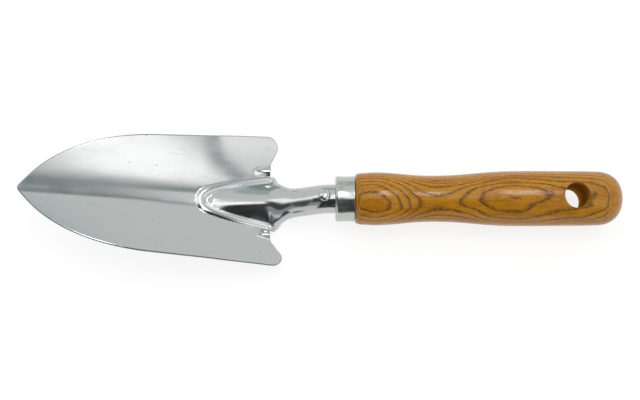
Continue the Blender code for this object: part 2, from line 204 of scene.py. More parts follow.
def distance_to_loop(x, y):
    """Distance from places in plan to the loop's centre line; far away it isn't needed."""
    far = np.full(x.shape, 1.0)
    near = (x > apex_x - near_ahead) & (y < near_aside)
    qx, qy = x[near], y[near]
    best = np.full(qx.shape, 1.0)
    for ax, ay, bx, by in zip(loop_x, loop_y, loop_x[1:], loop_y[1:]):
        t = ((qx - ax) * (bx - ax) + (qy - ay) * (by - ay)) / ((bx - ax) ** 2 + (by - ay) ** 2)
        t = np.clip(t, 0, 1)
        best = np.minimum(best, np.hypot(qx - ax - t * (bx - ax), qy - ay - t * (by - ay)))
    far[near] = best
    return far


def curl(x, y):
    """Rise of the crimp between the bead's end and the wing: steep inside, a long slope outside."""
    behind = np.maximum(x - curl_x, 0)
    inner_foot, outer_foot = loop_half_width(x) + curl_clear, curl_y + curl_spread * behind
    inside = fade_in(y, inner_foot, np.maximum(curl_y - inner_foot, curl_least))
    outside = 1 - np.clip((y - curl_y) / np.maximum(outer_foot - curl_y, curl_least), 0, 1)
    shape = np.where(y < curl_y, inside, outside**2)
    full = notch_x - curl_x
    growth = np.minimum(behind / full, curl_most) ** curl_power
    return curl_height * growth * shape * (1 - fade_in(x, notch_x, full))


def front_height(x, y):
    """Height of the blade's front face at a place in plan."""
    y = np.abs(y)
    bowl = hollow(x, y)
    inner = np.maximum(loop_half_width(x) - hump_inset, 1e-6)
    rise = np.where(x > apex_x, (1 - np.minimum(y / inner, 1) ** 2) ** hump_power, 0)
    rise = rise * fade_in(x, apex_x, hump_start)
    surface = bowl + rise * (crest_height(x) - middle_height(x) - bowl)

    far = distance_to_loop(x, y)
    width = bead_width + apex_extra * np.exp(-(((x - apex_x) / apex_zone) ** 2))
    bead = bead_height * (1 - np.minimum(2 * far / width, 1) ** 2) ** bead_power
    bead = bead * (1 - fade_in(x, notch_x, bead_fade))

    return middle_height(x) + surface + bead + curl(x, y)


corner_rise = float(hollow(np.array([notch_x]), half_width)[0])
print(f"hollow at the corners: {corner_rise / MM:.1f} mm")

# %% [markdown]
# ## The rolled neck
#
# Behind the notch the sheet has free edges, so it can be rolled. The useful trick is to think of
# each cross-section as a walk along the sheet: at every step the walker turns a little. Blending
# the turning angles of two sections, and not their points, keeps the sheet's width true, so the
# skirts of the hump swing down, pass through an upright U, and meet in a seam under the tube.
# The bend starts at the free edges and works inwards, as it does when a sheet is rolled by hand.

# %% Rolling a section
neck_radius = 7.3 * MM  # outside
neck_mid = neck_radius - sheet / 2
round_from = -8.0 * MM  # from here to the ferrule the neck is a true tube
gather_length, gather_power = 5.0 * MM, 1.5  # how fast the skirts swing down behind the notch
bend_softness = 24 * MM  # how gently the bend starts in the sheet
seam = 0.4 * MM
neck_end = 1.0 * MM
relief, relief_length = 2.5 * MM, 22 * MM  # the sheet is cut back where the skirts hang lowest
section_points, walk_steps = 240, 400
print(f"neck {2 * neck_radius / MM:.1f} mm across, rolled over {(neck_end - notch_x) / MM:.1f} mm")


def neck_row(x, lines):
    """Places of the sheet's lines at one station of the neck. A line is named by the half width
    at which it left the blade."""
    ys = np.linspace(0, notch_y + 1 * MM, section_points)
    here = front_height(np.full_like(ys, x), ys)
    at_notch = front_height(np.full_like(ys, notch_x), ys)
    run, run_notch = walked(ys, here), walked(ys, at_notch)
    lean = np.arctan(np.gradient(here, ys))
    behind = max(x - notch_x, 0)
    roll = 1 - math.exp(-((behind / gather_length) ** gather_power))
    roll += (1 - roll) * float(smooth_step(behind / (round_from - notch_x)))
    whole = np.interp(notch_y, ys, run_notch)
    wanted = math.pi * neck_mid - seam / 2
    ends = np.interp(lines, ys, run_notch) * (1 + roll * (wanted / whole - 1))
    s = np.linspace(0, max(ends.max(), 1e-9), walk_steps)
    start, soft = whole * (1 - roll), bend_softness * roll * (1 - roll)
    past = s - start
    turn = (past + np.hypot(past, soft) - (math.hypot(start, soft) - start)) / 2 / neck_mid
    angle = (1 - roll) * np.interp(s, run, lean) - turn
    ds = s[1] - s[0]
    y, z = (np.concatenate([[0], np.cumsum((step[1:] + step[:-1]) / 2 * ds)])
            for step in (np.cos(angle), np.sin(angle)))
    return np.interp(ends, s, y), crest_height(x) + np.interp(ends, s, z)


def press(x, v, on_neck):
    """Where places of the flat sheet end up, as its middle layer, in the tool's own frame."""
    place = np.stack([x, v, np.zeros_like(x)], axis=1)
    flat = ~on_neck
    place[flat, 2] = front_height(x[flat], v[flat])
    stations = np.round(x, 9)
    for station in np.unique(stations[on_neck]):
        row = on_neck & (stations == station)
        place[row, 1], place[row, 2] = neck_row(float(station), v[row])
    place[:, 2] -= sheet / 2
    return place


# %% [markdown]
# ## The blade's outline and its net of points
#
# The outline is drawn once, for half the blade: a curve from tip to corner, a rounded corner, the
# slanting rear edge and the neck's edge. Inside it a plain lattice of points is enough, closer
# where the loop and the neck are, and a Delaunay net joins lattice and outline without slivers.

# %% Outline of half the blade
outline_step = 0.9 * MM
rear_step, neck_step = 0.6, 0.7  # parts of the outline's step
corner_radius, wing_rear, rear_edge_y = 4.7 * MM, 28.3 * MM, 20.6 * MM
corner_turn = np.radians(np.linspace(90, -24, 26)[1:])  # from the side round to the rear edge
rear_edge_slant = 0.4 * MM
fine_tip = 2  # mm of the outline at the tip that get closer points
# Half the blade's side line: mm behind the tip, half width in mm.
side_line = [
    (0, 0), (0.4, 1.1), (1.4, 2.35), (3.7, 4.95), (6.8, 8.15), (10.9, 11.8),
    (16, 15.5), (21, 18.5), (26.2, 21.1), (36.3, 25), (46.5, 27.7), (56.6, 29.4),
    (72, 30.55), (92, 31.75), (102, 32.5),
]


def straight(a, b, step):
    """Evenly spaced places from a to b, both ends with them."""
    n = max(int(round(math.dist(a, b) / step)), 1)
    return [(a[0] + (b[0] - a[0]) * i / n, a[1] + (b[1] - a[1]) * i / n) for i in range(n + 1)]


def half_outline(step):
    """Places along the flat sheet's edge, from the tip round to the neck's end."""
    corner_x, corner_y = -wing_rear - corner_radius, half_width - corner_radius
    path = np.array(side_line + [((blade_reach + corner_x) / MM, half_width / MM)], float)
    chord = walked(*path.T)
    at = np.concatenate([np.linspace(0, fine_tip, 7),
                         np.arange(fine_tip + step / MM, chord[-1], step / MM), [chord[-1]]])
    along = smooth_line(list(zip(chord, path[:, 0])), at) * MM - blade_reach
    across = smooth_line(list(zip(chord, path[:, 1])), at) * MM
    outline = list(zip(along, across))
    outline[0] = (-blade_reach, 0.0)
    for angle in corner_turn:
        outline.append((corner_x + corner_radius * math.cos(angle),
                        corner_y + corner_radius * math.sin(angle)))
    rear_to = (notch_x + rear_edge_slant, rear_edge_y)
    outline += straight(outline[-1], rear_to, step)[1:]
    outline += straight(rear_to, (notch_x, notch_y), step * rear_step)[1:]
    for x, _ in straight((notch_x, notch_y), (neck_end, notch_y), step * neck_step)[1:]:
        t = min((x - notch_x) / relief_length, 1)
        outline.append((x, notch_y - relief * math.sin(math.pi * t) ** 2))
    return np.array(outline)


outline = half_outline(outline_step)
print(len(outline), "points on half the outline")

# %% Lattice and net
fine, coarse = 0.5 * MM, 0.85 * MM
clear_of_rim, clear_of_loop = 0.75 * MM, 5 * MM


def inside(points, polygon):
    """Which points lie inside the closed polygon."""
    hit = np.zeros(len(points), bool)
    for a, b in zip(polygon, np.roll(polygon, -1, axis=0)):
        if a[1] == b[1]:
            continue
        crosses = (a[1] > points[:, 1]) != (b[1] > points[:, 1])
        meets = a[0] + (points[:, 1] - a[1]) / (b[1] - a[1]) * (b[0] - a[0])
        hit ^= crosses & (points[:, 0] < meets)
    return hit


def lattice(step, x_from, x_to):
    """Staggered points, from the middle line outwards."""
    rows = np.arange(x_from, x_to + step / 2, step)
    points = []
    for k, x in enumerate(rows):
        across = np.arange(step / 2 if k % 2 else step, half_width, step)
        points += [(x, y) for y in across]
    return np.array(points)


polygon = np.vstack([outline, [(neck_end, 0.0)]])
fine_from = apex_x - 4 * MM
net = np.vstack([
    lattice(coarse, -blade_reach + 0.5 * MM, fine_from - coarse),
    lattice(fine, fine_from, neck_end - fine * 0.6),
])
# The quiet part of the wings beside the loop needs fewer points.
far_from_loop = net[:, 1] > loop_half_width(net[:, 0]) + clear_of_loop
quiet = far_from_loop & (net[:, 0] > fine_from) & (net[:, 0] < notch_x - 3 * MM)
even = (np.round(net / fine).astype(int) % 2 == 0).all(axis=1)
net = net[~quiet | even]
net = net[inside(net, polygon)]
for a, b in zip(outline, outline[1:]):
    t = np.clip(((net - a) @ (b - a)) / ((b - a) @ (b - a)), 0, 1)
    net = net[np.hypot(*(net - a - t[:, None] * (b - a)).T) > clear_of_rim]
net = net[net[:, 0] < neck_end - clear_of_rim]
end_row = np.array([(neck_end, y) for y in np.arange(notch_y - fine * 1.2, 0.3 * fine, -fine)])
middle = np.array([(x, 0.0) for x in np.concatenate([
    [neck_end], np.arange(neck_end - clear_of_rim, fine_from, -fine),
    np.arange(fine_from - coarse / 2, -blade_reach + 1.2 * MM, -coarse)])])
border = np.vstack([outline, end_row, middle])
flat_points = np.vstack([border, net])
n = len(border)
verts, _, faces, *_ = delaunay_2d_cdt(
    [Vector(p / MM) for p in flat_points], [(i, (i + 1) % n) for i in range(n)], [], 2, 1e-6)
flat_points = np.array([[co.x, co.y] for co in verts]) * MM
faces = np.array([list(f) for f in faces])
print(len(flat_points), "points and", len(faces), "triangles on half the sheet")

# %% [markdown]
# ## Giving the sheet its thickness
#
# Each point gets its pressed place and its exact slope, found by pressing two close neighbours.
# The front and back faces lie half the sheet's thickness to either side along that normal, and a
# half-round strip closes the edge, because a guillotined and tumbled edge is never sharp. The
# thin line along the blade's near edge is this strip.

# %% Front, back and rounded edge


def unit(vectors):
    return vectors / np.linalg.norm(vectors, axis=1)[:, None]


on_neck = (flat_points[:, 0] > notch_x + 1e-9) & (flat_points[:, 1] <= notch_y + 1e-7)
px, pv = flat_points[:, 0], flat_points[:, 1]
delta = 0.02 * MM  # distance of the neighbours
place = press(px, pv, on_neck)
side = np.where(on_neck & (pv > notch_y - delta), -delta, delta)
along = press(px + delta, pv, on_neck) - press(px - delta, pv, on_neck)
across = (press(px, pv + side, on_neck) - place) * np.sign(side)[:, None]
normal = unit(np.cross(along, across))
on_middle = np.abs(pv) < 1e-8
place[on_middle, 1] = normal[on_middle, 1] = 0
normal = unit(normal)

# The other half is the mirror image, and shares the middle line's points.
other = np.where(on_middle, np.arange(len(place)), 0)
other[~on_middle] = len(place) + np.arange(np.count_nonzero(~on_middle))
flip = np.array([1, -1, 1])
place_all = np.vstack([place, place[~on_middle] * flip])
normal_all = np.vstack([normal, normal[~on_middle] * flip])
faces_all = np.vstack([faces, other[faces][:, ::-1]])

# Edges that belong to one triangle only are the sheet's rim, in walking order.
edge_uses = {}
for face in faces_all:
    for a, b in zip(face, np.roll(face, -1)):
        edge_uses[(int(a), int(b))] = True
follow = {a: b for a, b in edge_uses if (b, a) not in edge_uses}
start = next(iter(follow))
rim = [start]
while follow[rim[-1]] != start:
    rim.append(follow[rim[-1]])
rim = np.array(rim)
ahead = place_all[np.roll(rim, -1)] - place_all[np.roll(rim, 1)]
outward = unit(np.cross(ahead, normal_all[rim]))

edge_round = 0.42 * MM
pulled_in = place_all.copy()
pulled_in[rim] -= outward * edge_round
front = pulled_in + normal_all * sheet / 2
back = pulled_in - normal_all * sheet / 2
strips = []
for angle in np.radians([22, 45, 68, 90, 112, 135, 158]):
    strips.append(pulled_in[rim] + normal_all[rim] * sheet / 2 * math.cos(angle)
                  + outward * edge_round * math.sin(angle))
count, m = len(place_all), len(rim)
points = np.vstack([front, back] + strips)
skin = [tuple(f) for f in faces_all] + [tuple(f[::-1] + count) for f in faces_all]
rows = [rim] + [2 * count + k * m + np.arange(m) for k in range(len(strips))] + [rim + count]
for upper, lower in zip(rows, rows[1:]):
    skin += [(upper[(i + 1) % m], upper[i], lower[i], lower[(i + 1) % m]) for i in range(m)]

# The press tool was a hair out of true: one wing reaches further back than the other.
skew = 1.3 * MM
from_middle = np.abs(points[:, 1])
on_wing = fade_in(points[:, 0], -60 * MM, 25 * MM) * fade_in(from_middle, 17 * MM, 14 * MM)
points[:, 0] -= skew * np.sign(points[:, 1]) * on_wing
# Behind the notch the neck was also left a little to the near side of the handle's line.
neck_shift = 0.55 * MM
on_neck_part = fade_in(points[:, 0], -37 * MM, 12 * MM)
on_neck_part *= 1 - fade_in(points[:, 0], -13 * MM, 10 * MM)
points[:, 1] -= neck_shift * on_neck_part * (1 - fade_in(from_middle, 14.5 * MM, 4 * MM))


def add_object(name, data):
    made = bpy.data.objects.new(name, data)
    scene.collection.objects.link(made)
    return made


def add_piece(name, points, faces):
    """A smooth-shaded mesh in the tool's own frame, moved to its place in the model."""
    mesh = bpy.data.meshes.new(name)
    places = np.asarray(points) + (face_x, 0, axis_z)
    mesh.from_pydata([tuple(p) for p in places], [], [tuple(int(i) for i in f) for f in faces])
    mesh.shade_smooth()
    return add_object(name, mesh)


blade = add_piece("pressed_blade", points, skin)
# The sheared edge, all strips but the outer two, gets a finish of its own.
strip_faces = 2 * len(faces_all)
for index in range(strip_faces + m, strip_faces + (len(rows) - 2) * m):
    blade.data.polygons[index].material_index = 1
# A crisp line where face and edge meet keeps the face's reflection flat right up to the rim.
rim_vertex = np.zeros(len(points), bool)
rim_vertex[rim] = rim_vertex[rim + count] = True
ends = np.array([edge.vertices[:] for edge in blade.data.edges])
crisp = rim_vertex[ends].all(axis=1) & ((ends < count).all(axis=1) | (ends >= count).all(axis=1))
blade.data.attributes.new("sharp_edge", "BOOLEAN", "EDGE").data.foreach_set("value", crisp)
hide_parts("blade")
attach(blade, "root")
print(len(skin), "faces on the blade;", len(rim), "points round its rim")

# %% [markdown]
# ## The ferrule
#
# A ferrule is a drawn cup that keeps the wood from splitting. It's a turned form, so a profile
# swept round the axis makes it, with no modelling by hand. What makes it look drawn and not
# lathed is the soft front shoulder and a wall that pulls in a hair between its two ends.

# %% Turned forms
around = 160  # steps of one turn


def sweep(profile, closed=False):
    """Points and quads of a profile (along, radius) turned round the handle's axis."""
    points = [(a, r * math.sin(t), r * math.cos(t)) for a, r in profile for t in full_turn(around)]
    faces = []
    rows = len(profile)
    for i in range(rows if closed else rows - 1):
        a, b = i * around, (i + 1) % rows * around
        faces += [(a + k, a + (k + 1) % around, b + (k + 1) % around, b + k) for k in range(around)]
    return points, faces


def round_over(along, radius, size, start, end, n=7):
    """A rounded stretch of a profile; angles in degrees, 0 along the axis towards the handle."""
    return [(along + size * math.cos(a), radius + size * math.sin(a))
            for a in np.radians(np.linspace(start, end, n))]


wall, shoulder, waist, lip = 1.0 * MM, 1.3 * MM, 0.15 * MM, 0.25 * MM
mouth_gap, mouth_round = 0.3 * MM, 0.3 * MM  # round the neck
mouth_radius = neck_radius + mouth_gap
profile = round_over(mouth_round, mouth_radius + mouth_round, mouth_round, 270, 180)
profile += round_over(shoulder, ferrule_radius - shoulder, shoulder, 180, 90, 12)
for share in np.linspace(0.1, 0.9, 12):
    profile.append((shoulder + (ferrule_length - shoulder) * share,
                    ferrule_radius - waist * math.sin(math.pi * share)))
profile += round_over(ferrule_length - lip, ferrule_radius - lip, lip, 90, 0)
inner_radius = ferrule_radius - wall
profile += [(ferrule_length, inner_radius), (wall, inner_radius), (wall, mouth_radius)]
ferrule = add_piece("ferrule_cup", *sweep(profile, closed=True))
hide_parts("ferrule")
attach(ferrule, "root")
print(f"ferrule {ferrule_length / MM:.1f} mm long, {2 * ferrule_radius / MM:.1f} mm across")

# %% [markdown]
# ## The rivet
#
# The rivet's domed head sits across a round neck, so its underside is a saddle. A turned form
# can't have that. Each ring of the mesh is a circle in plan, and its height comes either from
# the dome or from the neck's own cylinder, so head and neck meet with a hair of shadow all round.

# %% Rivet with two heads
rivet_low, rivet_high = corners(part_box("rivet"))
rivet_x = (rivet_low[0] + rivet_high[0]) / 2 - face_x
head_radius = (rivet_high[1] - rivet_low[1]) / 2
head_top = rivet_high[2] - axis_z
shank_radius, seat_gap, head_edge = 1.7 * MM, 0.06 * MM, 0.1 * MM
dome_share = 0.93  # of the head's rise; the rest is its upright edge
dome_bend = np.radians([8, 18, 28, 38, 48, 58, 68, 77, 84, 90])
underside = 0.97  # of the head's radius, where its edge turns in
per_ring = 64
spins = full_turn(per_ring)


def head_rings():
    """Rings (x, y, z) of the front head, from the top of the dome in to the shank."""
    dome_height = (head_top - neck_radius) * dome_share
    rings = []
    for t in dome_bend:
        rings.append((head_radius * math.sin(t), head_top - dome_height * (1 - math.cos(t)), None))
    # Below the dome a ring's height is a distance off the neck's cylinder.
    rings += [(head_radius, None, seat_gap + head_edge),
              (head_radius * underside, None, seat_gap), (shank_radius, None, seat_gap)]
    out = []
    for r, z, off in rings:
        ys = r * np.sin(spins)
        zs = np.full_like(ys, z) if off is None else np.sqrt((neck_radius + off) ** 2 - ys**2)
        out.append(np.stack([rivet_x + r * np.cos(spins), ys, zs], axis=1))
    return out


rings = head_rings()
rings += [ring * (1, 1, -1) for ring in rings[::-1]]
rivet_points = [(rivet_x, 0, head_top)] + [tuple(p) for ring in rings for p in ring]
rivet_points.append((rivet_x, 0, -head_top))
last = len(rivet_points) - 1
steps = [(k, (k + 1) % per_ring) for k in range(per_ring)]
rivet_faces = [(0, 1 + k, 1 + j) for k, j in steps]
for i in range(len(rings) - 1):
    a, b = 1 + i * per_ring, 1 + (i + 1) * per_ring
    rivet_faces += [(a + k, b + k, b + j, a + j) for k, j in steps]
rivet_faces += [(last, last - per_ring + j, last - per_ring + k) for k, j in steps]
rivet = add_piece("rivet_head", rivet_points, rivet_faces)
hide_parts("rivet")
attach(rivet, "root")
print(f"rivet head {2 * head_radius / MM:.1f} mm across")

# %% [markdown]
# ## The handle
#
# The grip is turned and then cross-drilled, and the hole's edge is sanded to a soft radius before
# lacquering. A boolean leaves that edge sharp, with ragged triangles that a bevel can't follow.
# Here the surface round the hole is unrolled like a paper label: rings of points hug the hole,
# plain rows fill the rest, and a Delaunay net joins them. Each point's height then comes from
# the turned shape, less the drop of a quarter circle near the hole.

# %% Shape of the grip
wood_gap = 0.3 * MM  # between the wood and the ferrule
handle_start = ferrule_length + wood_gap
handle_length = handle_end - handle_start
grip_radius, end_length = 14.0 * MM, 13.6 * MM
end_power = 2.33  # 2 would make the end's outline a quarter of an ellipse
# The turned profile: share of the handle's length, share of its largest radius.
grip_shape = [
    (0, 0.865), (0.0111, 0.914), (0.0371, 0.940), (0.075, 0.958), (0.1236, 0.941),
    (0.1685, 0.904), (0.225, 0.855), (0.2814, 0.835), (0.349, 0.846), (0.4165, 0.889),
    (0.484, 0.947), (0.5516, 0.987), (0.657, 1), (0.77, 0.992), (0.8827, 0.981), (0.899, 0.976),
]
hole_x, hole_radius, hole_round = handle_end - 24.9 * MM, 6.25 * MM, 0.5 * MM
hole_turn = math.radians(6.5)  # the handle sits a little turned on its tang
print(f"handle {handle_length / MM:.1f} mm long and {2 * grip_radius / MM:.0f} mm across")


def radius_at(along):
    """Radius of the turned grip at a distance behind the ferrule's face."""
    share = (np.asarray(along, float) - handle_start) / handle_length
    grip = smooth_line(grip_shape, np.minimum(share, grip_shape[-1][0])) * grip_radius
    into_end = np.clip((along - (handle_end - end_length)) / end_length, 0, 1)
    return grip * (1 - into_end**end_power) ** (1 / end_power)


def grip_place(along, angle):
    """A place on the handle's surface, with the hole's softened edge taken into account."""
    r = radius_at(along)
    y, z = r * np.sin(angle), r * np.cos(angle)
    away = np.hypot(along - hole_x, y)
    into_edge = np.clip(hole_radius + hole_round - away, 0, hole_round)
    drop = hole_round - np.sqrt(np.maximum(hole_round**2 - into_edge**2, 0))
    return np.stack([along, y, z - np.sign(z) * drop], axis=-1)


# %% Rows, rings and net of the handle
zone_reach = 9.6 * MM  # the unrolled label reaches this far to either side of the hole
zone_from, zone_to = hole_x - zone_reach, hole_x + zone_reach
turns = np.radians(-90 + np.arange(around + 1) * 360 / around)
first_rows = handle_start + np.array([0.0, 0.15, 0.4, 0.8, 1.3, 2, 3]) * MM
front_rows = np.concatenate([first_rows, np.linspace(handle_start + 4.2 * MM, zone_from, 74)])
end_share = np.sin(np.radians(np.linspace(0, 90, 26)))
round_rows = handle_end - end_length + end_length * end_share
end_rows = np.concatenate([[zone_to], round_rows[round_rows > zone_to + 0.3 * MM][:-1]])
zone_rows = np.linspace(zone_from, zone_to, 34)[1:-1]
clear_of_rings = 0.35 * MM

flat = []  # places on the label: along the handle, and angle round it
for x in (zone_from, zone_to):
    flat += [(x, t) for t in turns]
for x in zone_rows:
    for k, t in enumerate(turns):
        if k in (0, around):
            flat.append((x, t))
            continue
        y = float(radius_at(x)) * math.sin(t)
        if math.hypot(x - hole_x, y) > hole_radius + hole_round + clear_of_rings:
            flat.append((x, t))
rim_edges, rim_starts = [], []
ring_steps = 96
hole_spins = full_turn(ring_steps)
for back in (False, True):
    for k, bend in enumerate(np.radians([90, 76, 62, 48, 34, 20, 6])):
        s = hole_radius + hole_round * (1 - math.sin(bend))
        xs, ys = hole_x + s * np.cos(hole_spins), s * np.sin(hole_spins)
        angle = np.arcsin(ys / radius_at(xs))
        angle = math.pi - angle if back else angle
        first = len(flat)
        flat += list(zip(xs, angle))
        if k == 0:
            rim_starts.append(first)
            rim_edges += [(first + i, first + (i + 1) % ring_steps) for i in range(ring_steps)]
unroll = 13.5  # mm of label for each radian
verts, _, net_faces, *_ = delaunay_2d_cdt(
    [Vector((x / MM, t * unroll)) for x, t in flat], rim_edges, [], 0, 1e-6)
zone = np.array([(co.x * MM, co.y / unroll) for co in verts])
middle_of = zone[np.array([list(f) for f in net_faces])].mean(axis=1)
aside = radius_at(middle_of[:, 0]) * np.sin(middle_of[:, 1])
away = np.hypot(middle_of[:, 0] - hole_x, aside)
net_faces = [tuple(f) for f, s in zip(net_faces, away) if s > hole_radius]
print(len(flat), "places on the label,", len(net_faces), "faces round the hole")

# %% Body, bore and spigot of the handle
body = bmesh.new()


def skin_over(rings):
    """Close the bands between rings of vertices with quads."""
    for upper, lower in zip(rings, rings[1:]):
        for k in range(len(upper)):
            j = (k + 1) % len(upper)
            body.faces.new((upper[k], upper[j], lower[j], lower[k]))


for rows in (front_rows, end_rows):
    grid = [[body.verts.new(grip_place(x, t)) for t in turns[:-1]] for x in rows]
    skin_over(grid)
    if rows is front_rows:
        first_row = grid[0]
    else:
        tip = body.verts.new((handle_end, 0, 0))
        for k in range(around):
            body.faces.new((grid[-1][k], grid[-1][(k + 1) % around], tip))
net_verts = [body.verts.new(grip_place(x, t)) for x, t in zone]
for f in net_faces:
    body.faces.new([net_verts[i] for i in f])

# The bore's wall joins the two rims, and the front ends in a spigot inside the ferrule.
bore_steps = 14
front_rim, back_rim = (
    np.array([grip_place(*place_on_label) for place_on_label in flat[first:first + ring_steps]])
    for first in rim_starts)
bore = [[body.verts.new(a + (b - a) * share) for a, b in zip(front_rim, back_rim)]
        for share in np.linspace(0, 1, bore_steps)]
skin_over(bore)
spigot, spigot_bevel = inner_radius - wood_gap, 0.5 * MM
spigot_end = wall + wood_gap
spigot_line = ((handle_start, spigot), (spigot_end + spigot_bevel, spigot),
               (spigot_end, spigot - spigot_bevel))
spigot_rows = [[body.verts.new((x, r * math.sin(t), r * math.cos(t))) for t in turns[:-1]]
               for x, r in spigot_line]
skin_over([first_row] + spigot_rows)
body.faces.new(spigot_rows[-1])
weld = 0.002 * MM
bmesh.ops.remove_doubles(body, verts=body.verts, dist=weld)
bmesh.ops.recalc_face_normals(body, faces=body.faces)
open_edges = sum(1 for e in body.edges if len(e.link_faces) != 2)
body.transform(Matrix.Rotation(hole_turn, 4, "X"))
body.verts.index_update()
handle = add_piece("turned_handle", [tuple(v.co) for v in body.verts],
                   [[v.index for v in f.verts] for f in body.faces])
body.free()
# The spigot's and the front face's edges are crisp; the rest is smooth.
handle.data.set_sharp_from_angle(angle=math.radians(50))
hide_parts("handle")
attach(handle, "root")
print(len(handle.data.polygons), "faces on the handle,", open_edges, "open edges")

# %% [markdown]
# ## Tools for finishes
#
# All finishes here are grown from a few noises in the tool's own space, so that grain and
# scratches cross from face to edge without seams. Small helpers keep the node graphs readable:
# one adds a node and feeds its sockets, one makes a soft threshold, one mixes two colours.

# %% Node helpers


def new_finish(name):
    """A new material, its node tree and its shader."""
    material = bpy.data.materials.new(name)
    material.use_nodes = True
    return material, material.node_tree, material.node_tree.nodes["Principled BSDF"]


def feed(tree, made, values):
    """Give sockets of a node their values: numbers, colours or other nodes' outputs."""
    for socket, value in values:
        if isinstance(value, bpy.types.NodeSocket):
            tree.links.new(value, made.inputs[socket])
        else:
            made.inputs[socket].default_value = value


def node(tree, kind, values=(), **settings):
    """Add a node with its settings and the values of its sockets."""
    made = tree.nodes.new(kind)
    for name, value in settings.items():
        setattr(made, name, value)
    feed(tree, made, values)
    return made


def math_node(tree, operation, a, b=0.0, c=0.0, clamp=False):
    return node(tree, "ShaderNodeMath", enumerate((a, b, c)),
                operation=operation, use_clamp=clamp).outputs[0]


def vector_node(tree, operation, a, b):
    return node(tree, "ShaderNodeVectorMath", [(0, a), (1, b)], operation=operation).outputs[0]


def turned(tree, place, angles):
    return node(tree, "ShaderNodeVectorRotate", [("Vector", place), ("Rotation", angles)],
                rotation_type="EULER_XYZ").outputs[0]


def soft_range(tree, value, low, high, out_low=0.0, out_high=1.0):
    """A smooth ramp: out_low below low, out_high above high."""
    values = [("Value", value), ("From Min", low), ("From Max", high),
              ("To Min", out_low), ("To Max", out_high)]
    return node(tree, "ShaderNodeMapRange", values,
                interpolation_type="SMOOTHSTEP", clamp=True).outputs["Result"]


def soft_band(tree, value, rise_from, rise_to, fall_from, fall_to):
    """1 inside the band, 0 outside, with a smooth ramp at either side."""
    return math_node(tree, "MULTIPLY", soft_range(tree, value, rise_from, rise_to),
                     soft_range(tree, value, fall_from, fall_to, 1.0, 0.0))


def add_up(tree, total, parts):
    """Add every part, times its weight, to the total."""
    for part, weight in parts:
        total = math_node(tree, "MULTIPLY_ADD", part, weight, total)
    return total


def mix_colours(tree, factor, a, b, share=1.0):
    """From colour a to colour b, as far as the factor, times a share, says."""
    if share < 1:
        factor = math_node(tree, "MULTIPLY", factor, share)
    return node(tree, "ShaderNodeMix", [("Factor", factor), (6, a), (7, b)],
                data_type="RGBA").outputs[2]


def in_mm(tree, stretch=(1, 1, 1), turn=(0, 0, 0)):
    """The tool's own coordinates in millimetres, turned and then stretched."""
    place = node(tree, "ShaderNodeTexCoord").outputs["Object"]
    if any(turn):
        place = turned(tree, place, turn)
    return vector_node(tree, "MULTIPLY", place, tuple(1 / MM / s for s in stretch))


def noise(tree, place, detail, roughness=0.5):
    """Clouds as large as the steps of the place's coordinates."""
    values = [("Vector", place), ("Scale", 1.0), ("Detail", detail), ("Roughness", roughness)]
    return node(tree, "ShaderNodeTexNoise", values).outputs["Fac"]


def bump(tree, height, strength=1.0, distance=MM):
    """A normal that tilts with the height."""
    values = [("Height", height), ("Distance", distance), ("Strength", strength)]
    return node(tree, "ShaderNodeBump", values).outputs[0]


print("helpers ready")

# %% [markdown]
# ## Polished stainless steel
#
# Polished sheet is nearly a mirror, so what makes it read as steel is what it reflects and how
# the reflection is spoilt: a faint waviness from the rolls, hair scratches that run mostly along
# the blade, a haze that comes and goes, a few handling smudges, and pin-prick pits. The neck is
# duller, because it was worked after polishing.

# %% Steel finish
# Sizes in mm of the clouds that each noise makes.
scratch_size, haze_size, smudge_size = (14, 0.35, 4), (22, 9, 14), (16, 5, 9)
pit_spacing, peel_size, roll_size = (7, 7, 7), (2.6, 1.7, 2.2), (30, 11, 20)
scratch_runs = ((8, 0.68), (-21, 0.72), (64, 0.76))  # degrees to the blade's length, threshold


def scratches(tree, direction, threshold):
    """Hair lines: a noise stretched forty times along one direction, cut high."""
    place = in_mm(tree, scratch_size, turn=(0, 0, math.radians(direction)))
    return soft_range(tree, noise(tree, place, detail=1.0), threshold, threshold + 0.08)


smudge_tint, pit_tint = (0.36, 0.32, 0.26, 1), (0.08, 0.08, 0.08, 1)
worked_from, worked_to = 12, 34  # mm behind the apex, where the neck's duller finish fades in


